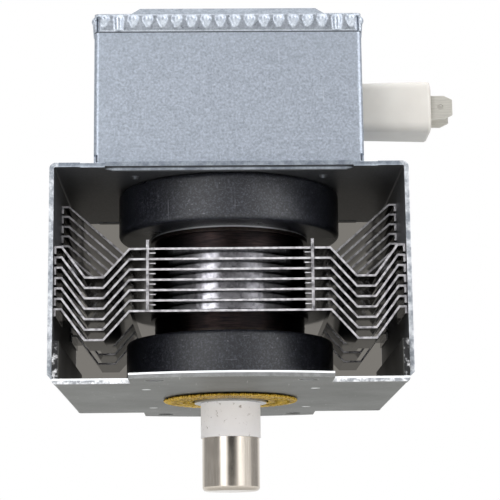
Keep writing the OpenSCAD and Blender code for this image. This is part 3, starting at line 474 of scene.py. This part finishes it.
def ferriteFinish(name, look):
    finish, tree, skin = startFinish(name, look["metal"])
    skin.inputs["Specular IOR Level"].default_value = look["sheen"]
    pits = pitsOf(tree, look["grain"])
    marks, edge = marksOf(tree, look), edgesOf(tree, look)
    tone = ramp(tree, pits, look["dark"], look["light"], look["toneSpan"])
    specks = spread(tree, pitsOf(tree, look["speckGrain"]), 0.0, look["speckShare"], look["speckSpan"])
    tone = blendTo(tree, specks, tone, look["specks"])
    scuffed = blendTo(tree, marks["Scratches"], tone, look["rub"])
    rubbed = spread(tree, marks["Patches"], 0.0, look["rubShare"], look["rubSpan"])
    colour = blendTo(tree, both(tree, edge["Edge"], rubbed), scuffed, look["rub"])
    coverSkin(tree, skin, colour, spread(tree, marks["Patches"], *look["rough"], midSpan))
    bumpOn(tree, skin, look, pits, edge["Normal"])
    return finish


dress(ferriteFinish("ferrite", ferriteLook), "upper_magnet", "lower_magnet", "choke_core_1", "choke_core_2")
print("ferrite done")

# bright aluminium sheet: the fins, with painted shade on their bent strips and cut ends partly painted
# highlight
finLook = {"dark": srgb(236, 237, 240), "light": srgb(246, 246, 248), "edge": srgb(248, 248, 248),
           "rough": (0.05, 0.1), "metal": 1.0, "endsMetal": 0.25, "stretch": (0.25, 2.5, 2.5),
           "scratch": 0.4, "patch": 8.0, "edgeWidth": 0.15, "edgeGain": 2.0, "bump": (0.03, 0.02),
           "fleck": 1.6, "ends": (srgb(150, 148, 152), srgb(222, 220, 224)), "endsSpan": (0.36, 0.58),
           # painted shade on the bent strips, and on their cut ends
           "stripsFrom": 23.5 * mm, "strips": (srgb(40, 40, 42), srgb(70, 70, 72)),
           "shadedStripEnds": (srgb(128, 126, 130), srgb(200, 198, 202)),
           "spacer": (19.4 * mm, 20.8 * mm), "spacerEnds": (srgb(96, 94, 98), srgb(196, 194, 198)),
           "spacerSpan": (0.36, 0.6)}


def finFinish(name, look):
    finish, tree, skin = startFinish(name, look["metal"])
    lines = effect(tree, rollLines, {"Stretch": look["stretch"]})["Lines"]
    marks, edge = marksOf(tree, look), edgesOf(tree, look)
    strips = placeMask(tree, "X", look["stripsFrom"])
    flat = ramp(tree, lines, look["dark"], look["light"])
    tone = blendTo(tree, strips, flat, ramp(tree, lines, *look["strips"]))
    colour = wearAndEdgeGlint(tree, tone, marks, edge, look["edge"])
    # cut ends lighter and less metallic: cut metal, partly painted highlight
    cut = effect(tree, sheetEnds)["Ends"]
    flecks = pitsOf(tree, look["fleck"])
    flatEnds = ramp(tree, flecks, *look["ends"], look["endsSpan"])
    spacerEnds = ramp(tree, flecks, *look["spacerEnds"], look["spacerSpan"])
    ends = blendTo(tree, placeMask(tree, "X", *look["spacer"]), flatEnds, spacerEnds)
    ends = blendTo(tree, strips, ends, ramp(tree, flecks, *look["shadedStripEnds"], look["endsSpan"]))
    rough = spread(tree, marks["Patches"], *look["rough"], midSpan)
    coverSkin(tree, skin, blendTo(tree, cut, colour, ends), rough)
    feed(tree, skin.inputs["Metallic"], spread(tree, cut, look["metal"], look["endsMetal"]))
    bumpOn(tree, skin, look, lines, edge["Normal"])
    return finish


dress(finFinish("finSheet", finLook), *["cooling_fin_%d" % number for number in range(1, 8)])
print("fins done")

# copper of the tube, tarnished in patches by brazing heat, the anode near black all over, and the enamelled
# choke wire
tarnishLook = {"metal": 1.0, "stretch": (0.3, 0.3, 2.6), "patch": 7.0, "stain": 0.8, "stainSpan": (0.4, 0.7),
               "bump": (0.08, 0.03)}
anodeLook = {**tarnishLook, "dark": srgb(26, 25, 27), "light": srgb(60, 49, 47),
             "tarnish": srgb(34, 33, 35), "rough": (0.34, 0.5)}
copperLook = {**tarnishLook, "dark": srgb(92, 52, 38), "light": srgb(158, 94, 66),
              "tarnish": srgb(52, 38, 34), "rough": (0.32, 0.5)}
enamelLook = {**tarnishLook, "dark": srgb(98, 48, 26), "light": srgb(140, 74, 40),
              "tarnish": srgb(80, 36, 20), "rough": (0.16, 0.26)}


def copperFinish(name, look):
    finish, tree, skin = startFinish(name, look["metal"])
    lines = effect(tree, rollLines, {"Stretch": look["stretch"]})["Lines"]
    patches = patchesOf(tree, look)
    stain = spread(tree, patches, 0.0, look["stain"], look["stainSpan"])
    colour = blendTo(tree, stain, ramp(tree, lines, look["dark"], look["light"]), look["tarnish"])
    coverSkin(tree, skin, colour, spread(tree, patches, *look["rough"], midSpan))
    bumpOn(tree, skin, look, lines)
    return finish


dress(copperFinish("anodeCopper", anodeLook), "anode_cylinder")
dress(copperFinish("tubeCopper", copperLook), "anode_vanes", "strap_rings", "antenna_lead", "exhaust_tube")
dress(copperFinish("enamelWire", enamelLook), "choke_coil_1", "choke_coil_2")
print("copper done")

# alumina of the two insulators, with specks of dirt
ceramicLook = {"dark": srgb(240, 237, 238), "light": srgb(249, 247, 248), "cloudSpan": (0.35, 0.65),
               "rough": (0.5, 0.62), "metal": 0.0, "grain": 0.3, "edgeWidth": 0.25, "bump": (0.12, 0.04),
               "dirt": srgb(120, 106, 96), "dirtGrain": 1.1, "dirtShare": 0.7, "dirtSpan": (0.62, 0.70)}


def ceramicFinish(name, look):
    finish, tree, skin = startFinish(name, look["metal"])
    grains = effect(tree, finePits, {"Grain mm": look["grain"]})
    body = ramp(tree, grains["Cloud"], look["dark"], look["light"], look["cloudSpan"])
    dirt = spread(tree, pitsOf(tree, look["dirtGrain"]), 0.0, look["dirtShare"], look["dirtSpan"])
    rough = spread(tree, grains["Pits"], *look["rough"], midSpan)
    coverSkin(tree, skin, blendTo(tree, dirt, body, look["dirt"]), rough)
    rounded = effect(tree, cutEdges, {"Width mm": look["edgeWidth"]})["Normal"]
    bumpOn(tree, skin, look, grains["Pits"], rounded)
    return finish


dress(ceramicFinish("alumina", ceramicLook), "output_insulator", "stem_insulator")
print("ceramic done")

# white moulded plastic of the feed-through capacitor
caseLook = {"dark": srgb(193, 189, 183), "light": srgb(203, 200, 194), "cloudSpan": (0.35, 0.65),
            "rough": (0.34, 0.46), "metal": 0.0, "grain": 0.35, "patch": 9.0, "edgeWidth": 0.4,
            "bump": (0.08, 0.04), "glow": 0.15, "glowDepth": (0.003, 0.0025, 0.002)}


def plasticFinish(name, look):
    finish, tree, skin = startFinish(name, look["metal"])
    skin.inputs["Subsurface Weight"].default_value = look["glow"]
    skin.inputs["Subsurface Radius"].default_value = look["glowDepth"]
    grains = effect(tree, finePits, {"Grain mm": look["grain"]})
    colour = ramp(tree, grains["Cloud"], look["dark"], look["light"], look["cloudSpan"])
    coverSkin(tree, skin, colour, spread(tree, patchesOf(tree, look), *look["rough"], midSpan))
    rounded = effect(tree, cutEdges, {"Width mm": look["edgeWidth"]})["Normal"]
    bumpOn(tree, skin, look, grains["Pits"], rounded)
    return finish


dress(plasticFinish("caseNylon", caseLook), "capacitor_case", "capacitor_core")
print("plastic done")

# knitted brass wire of the gasket, wound both ways round a flat core, in millimetres
gasketLook = {"inner": 9.75, "outer": gasketHigh.x / mm - 0.1, "height": -gasketLow.z / mm - 0.02,
              "wire": 0.17, "turns": 92, "steps": 18, "sides": 5, "flatness": 0.7,
              "windings": ((1, 0.0), (-1, 0.5), (1, 0.5)),  # way round, and shift in turns
              "waviness": 0.3, "ripples": (37, 11), "ripplePhase": 5, "slowShare": 0.4,
              "sway": 0.012, "swayBeats": 3, "swayPhase": 2,
              "coreSteps": 180, "coreSides": 8, "coreWide": 0.9, "coreHigh": 0.55}
brassLook = {"dark": srgb(168, 132, 46), "light": srgb(240, 204, 92), "shade": srgb(104, 80, 28),
             "rough": (0.2, 0.36), "metal": 1.0, "grain": 0.6, "patch": 3.0, "stain": 0.7,
             "stainSpan": (0.5, 0.75)}


def evenAngles(count):
    return [2 * math.pi * step / count for step in range(count)]


def joinRings(bm, rings):
    for first, second in zip(rings, rings[1:] + rings[:1]):
        for here in range(len(first)):
            there = (here + 1) % len(first)
            bm.faces.new((first[here], second[here], second[there], first[there]))


def tubeAlong(bm, points, radius, sides):
    rings = []
    for i, point in enumerate(points):
        ahead = (points[(i + 1) % len(points)] - points[i - 1]).normalized()
        side = ahead.cross(Vector((point.x, point.y, 0)).normalized()).normalized()
        up = side.cross(ahead)
        rims = [radius * (math.cos(turn) * side + math.sin(turn) * up) for turn in evenAngles(sides)]
        rings.append([bm.verts.new(point + rim) for rim in rims])
    joinRings(bm, rings)


def flatten(value, power):
    return math.copysign(abs(value) ** power, value)


def swellAt(look, angle, way, shift):  # the knit is uneven round the ring
    quick = 0.5 + 0.5 * math.sin(look["ripples"][0] * angle + look["ripplePhase"] * way)
    slow = 1 - look["slowShare"] + look["slowShare"] * math.sin(look["ripples"][1] * angle + shift)
    return 1 - look["waviness"] * quick * slow


def knitGasket(name, look):
    bm = bmesh.new()
    middle = (look["inner"] + look["outer"]) / 2 * mm
    halfWide = ((look["outer"] - look["inner"]) / 2 - look["wire"]) * mm
    halfHigh = (look["height"] / 2 - look["wire"]) * mm
    level = -look["height"] / 2 * mm
    total = look["turns"] * look["steps"]
    for way, shift in look["windings"]:
        path = []
        for share in (step / total for step in range(total)):
            angle = 2 * math.pi * (share + shift / look["turns"])
            turn = 2 * math.pi * way * look["turns"] * share
            swell = swellAt(look, angle, way, shift)
            radius = middle + halfWide * swell * flatten(math.cos(turn), look["flatness"])
            height = level + halfHigh * swell * flatten(math.sin(turn), look["flatness"])
            angle += look["sway"] * math.sin(look["swayBeats"] * turn + look["swayPhase"] * way)
            path.append(Vector((radius * math.cos(angle), radius * math.sin(angle), height)))
        tubeAlong(bm, path, look["wire"] * mm, look["sides"])
    rings = []
    for angle in evenAngles(look["coreSteps"]):  # flat core that fills the ring
        ring = []
        for turn in evenAngles(look["coreSides"]):
            radius = middle + look["coreWide"] * halfWide * math.cos(turn)
            height = level + look["coreHigh"] * halfHigh * math.sin(turn)
            ring.append(bm.verts.new((radius * math.cos(angle), radius * math.sin(angle), height)))
        rings.append(ring)
    joinRings(bm, rings)
    bmesh.ops.recalc_face_normals(bm, faces=bm.faces)
    for face in bm.faces:
        face.smooth = True
    mesh = bpy.data.meshes.new(name)
    bm.to_mesh(mesh)
    bm.free()
    knit = bpy.data.objects.new(name, mesh)
    bpy.context.scene.collection.objects.link(knit)
    return knit


def brassFinish(name, look):
    finish, tree, skin = startFinish(name, look["metal"])
    pits = pitsOf(tree, look["grain"])
    stain = spread(tree, patchesOf(tree, look), 0.0, look["stain"], look["stainSpan"])
    colour = blendTo(tree, stain, ramp(tree, pits, look["dark"], look["light"]), look["shade"])
    coverSkin(tree, skin, colour, spread(tree, pits, *look["rough"], midSpan))
    return finish


gasketKnit = knitGasket("gasketKnit", gasketLook)
gasketKnit.data.materials.append(brassFinish("gasketBrass", brassLook))
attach(gasketKnit, "root")
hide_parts("rf_gasket")
print("gasket knitted:", len(gasketKnit.data.polygons), "faces")

# pale floor, and a grey card of painted shade behind the open back of the yoke
floorLook = {"level": -0.05, "half": 2.5, "colour": srgb(212, 212, 210), "bright": 0.7, "mirrored": 0.24}
shadeCardLook = {"back": yokeHigh.y - 0.2 * mm, "half": yokeHigh.x - 1.12 * mm, "low": 1.5 * mm,
            "high": yokeHigh.z - 1.32 * mm, "colour": srgb(122, 119, 114)}


def flatPanel(name, corners, finish):
    mesh = bpy.data.meshes.new(name)
    mesh.from_pydata(corners, [], [(0, 1, 2, 3)])
    mesh.materials.append(finish)
    panel = bpy.data.objects.new(name, mesh)
    bpy.context.scene.collection.objects.link(panel)


def mixShaders(tree, factor, first, second, surface):
    values = {0: factor, 1: first.outputs[0], 2: second.outputs[0]}
    feed(tree, surface, addNode(tree, "ShaderNodeMixShader", None, values).outputs[0])


def seenStraight(tree, path):
    return maths(tree, "MAXIMUM", path["Is Camera Ray"], path["Is Transmission Ray"])


def floorFinish(name, look):  # near white where it is seen, dimmer in reflections
    finish, tree, surface = startMaterial(name)
    paint = addNode(tree, "ShaderNodeBsdfDiffuse", None, {"Color": look["colour"]})
    glow = addNode(tree, "ShaderNodeEmission", None, {"Color": white, "Strength": 1.0})
    path = addNode(tree, "ShaderNodeLightPath").outputs
    bright = both(tree, seenStraight(tree, path), look["bright"])
    mirrored = both(tree, path["Is Glossy Ray"], look["mirrored"])
    mixShaders(tree, maths(tree, "MAXIMUM", bright, mirrored), paint, glow, surface)
    return finish


def shadeCardFinish(name, look):  # painted shade: grey from the front, clear from behind
    finish, tree, surface = startMaterial(name)
    paint = addNode(tree, "ShaderNodeEmission", None, {"Color": look["colour"], "Strength": 1.0})
    clear = addNode(tree, "ShaderNodeBsdfTransparent")
    behind = addNode(tree, "ShaderNodeNewGeometry").outputs["Backfacing"]
    mixShaders(tree, behind, paint, clear, surface)
    return finish


half, level = floorLook["half"], floorLook["level"]
floorCorners = [(-half, -half, level), (half, -half, level), (half, half, level), (-half, half, level)]
flatPanel("floor", floorCorners, floorFinish("paleFloor", floorLook))
half, back, low, high = [shadeCardLook[key] for key in ("half", "back", "low", "high")]
shadeCardCorners = [(-half, back, low), (half, back, low), (half, back, high), (-half, back, high)]
flatPanel("paintedShadeCard", shadeCardCorners, shadeCardFinish("paintedShadeGrey", shadeCardLook))
print("floor and card placed")

# soft studio light: a dim room with a bright ceiling, lit and dark panels in front, and a white background
# a panel's middle, half and soft edge are radians round from the front, its heights are sines of elevation
roomLook = {"dim": 0.38, "ceiling": 1.1, "ceilingBand": (0.75, 0.35), "backBand": (0.95, 0.55),
            "heightSoft": 0.02, "darkest": 0.02, "tint": (0.97, 0.98, 1.0, 1.0)}
panelLooks = {
    "leftStrip": {"middle": -0.52, "half": 0.24, "soft": 0.14, "lift": 1.3},
    "rightWide": {"middle": 0.98, "half": 0.50, "soft": 0.15, "lift": 0.6},
    "rightStrip": {"middle": 0.66, "half": 0.20, "soft": 0.18, "lift": 1.0},
    "middleShade": {"middle": 0.02, "half": 0.22, "soft": 0.08, "lift": -0.3},
    "lowShade": {"middle": 0.00, "half": 1.30, "soft": 0.10, "lift": -0.33, "heights": (0.11, 0.235)},
    "lowStrip": {"middle": -0.54, "half": 0.18, "soft": 0.14, "lift": 5.5, "heights": (0.11, 0.235)},
    "rightGlint": {"middle": 1.02, "half": 0.15, "soft": 0.12, "lift": 3.2, "heights": (0.22, 0.5)},
}
lampLooks = {
    "keyLamp": {"at": (-0.40, -0.66, 0.60), "size": 0.6, "watts": 3.4, "colour": (1.0, 0.99, 0.97)},
    "fillLamp": {"at": (0.62, -0.50, 0.16), "size": 0.5, "watts": 1.2, "colour": (1.0, 0.98, 0.95)},
    "topLamp": {"at": (0.0, 0.10, 0.80), "size": 0.6, "watts": 1.2, "colour": (0.97, 0.98, 1.0)},
    "lowLamp": {"at": (-0.15, -0.70, -0.03), "size": 0.25, "watts": 1.0, "colour": (1.0, 0.99, 0.98)},
}
lampAim = Vector((0.0, 0.0, 0.04))


def softBand(tree, value, full, none):
    props = {"clamp": True, "interpolation_type": "SMOOTHSTEP"}
    values = dict(enumerate((value, none, full, 0.0, 1.0)))
    return addNode(tree, "ShaderNodeMapRange", props, values).outputs[0]


def panelLight(tree, around, upward, look, soft):
    away = maths(tree, "ABSOLUTE", maths(tree, "SUBTRACT", around, look["middle"]))
    band = softBand(tree, away, look["half"] - look["soft"], look["half"] + look["soft"])
    light = both(tree, band, look["lift"])
    if "heights" in look:  # only a strip of the room between two heights
        low, high = look["heights"]
        over = softBand(tree, upward, low + soft, low - soft)
        light = both(tree, light, both(tree, over, softBand(tree, upward, high - soft, high + soft)))
    return light


def lightRoom(name, look, panels):
    world = bpy.data.worlds.new(name)
    bpy.context.scene.world = world
    world.use_nodes = True
    tree = world.node_tree
    tree.nodes.clear()
    surface = addNode(tree, "ShaderNodeOutputWorld").inputs["Surface"]
    coord = addNode(tree, "ShaderNodeTexCoord")
    parts = addNode(tree, "ShaderNodeSeparateXYZ", None, {0: coord.outputs["Generated"]}).outputs
    around = maths(tree, "ARCTAN2", parts["X"], maths(tree, "MULTIPLY", parts["Y"], -1.0))
    overhead = softBand(tree, parts["Z"], *look["ceilingBand"])
    light = maths(tree, "MULTIPLY_ADD", overhead, look["ceiling"] - look["dim"], look["dim"])
    for panel in panels.values():
        light = maths(tree, "ADD", light, panelLight(tree, around, parts["Z"], panel, look["heightSoft"]))
    light = maths(tree, "MAXIMUM", light, look["darkest"])
    room = addNode(tree, "ShaderNodeBackground", None, {"Color": look["tint"], "Strength": light})
    plain = addNode(tree, "ShaderNodeBackground", None, {"Color": white, "Strength": 1.0})
    path = addNode(tree, "ShaderNodeLightPath").outputs
    behind = both(tree, path["Is Glossy Ray"], softBand(tree, parts["Y"], *look["backBand"]))
    mixShaders(tree, maths(tree, "MAXIMUM", seenStraight(tree, path), behind), room, plain, surface)


def hangLamp(name, look):
    data = bpy.data.lights.new(name, "AREA")
    data.shape = "DISK"
    data.size = look["size"]
    data.energy = look["watts"]
    data.color = look["colour"]
    lamp = bpy.data.objects.new(name, data)
    bpy.context.scene.collection.objects.link(lamp)
    lamp.location = look["at"]
    lamp.rotation_euler = (lampAim - lamp.location).to_track_quat("-Z", "Y").to_euler()
    lamp.visible_glossy = False


lightRoom("room", roomLook, panelLooks)
for name, look in lampLooks.items():
    hangLamp(name, look)
print("light set")

# camera as solved from the photograph: spot in millimetres, turns in radians, focal length in pixels
cameraLook = {"spot": (-3.05, -427.3, -43.9), "yaw": 0.020, "pitch": 0.192, "roll": -0.0115,
              "focal": 1652.0, "frame": 500.0, "sensor": 36.0, "clip": (0.01, 20.0)}


def setCamera(name, look):
    data = bpy.data.cameras.new(name)
    data.sensor_fit = "HORIZONTAL"
    data.sensor_width = look["sensor"]
    data.lens = look["focal"] / look["frame"] * look["sensor"]
    data.clip_start, data.clip_end = look["clip"]
    camera = bpy.data.objects.new(name, data)
    bpy.context.scene.collection.objects.link(camera)
    yaw, pitch, roll = look["yaw"], look["pitch"], look["roll"]
    ahead = Vector((math.sin(yaw) * math.cos(pitch), math.cos(yaw) * math.cos(pitch), math.sin(pitch)))
    right = Vector((math.cos(yaw), -math.sin(yaw), 0.0))
    up = right.cross(ahead)
    rolledRight = right * math.cos(roll) + up * math.sin(roll)
    rolledUp = up * math.cos(roll) - right * math.sin(roll)
    stand = Matrix((rolledRight, rolledUp, -ahead)).transposed().to_4x4()
    stand.translation = Vector(look["spot"]) * mm
    camera.matrix_world = stand
    bpy.context.scene.camera = camera


setCamera("camera", cameraLook)
bpy.context.scene.view_settings.view_transform = "Standard"
print("camera set")
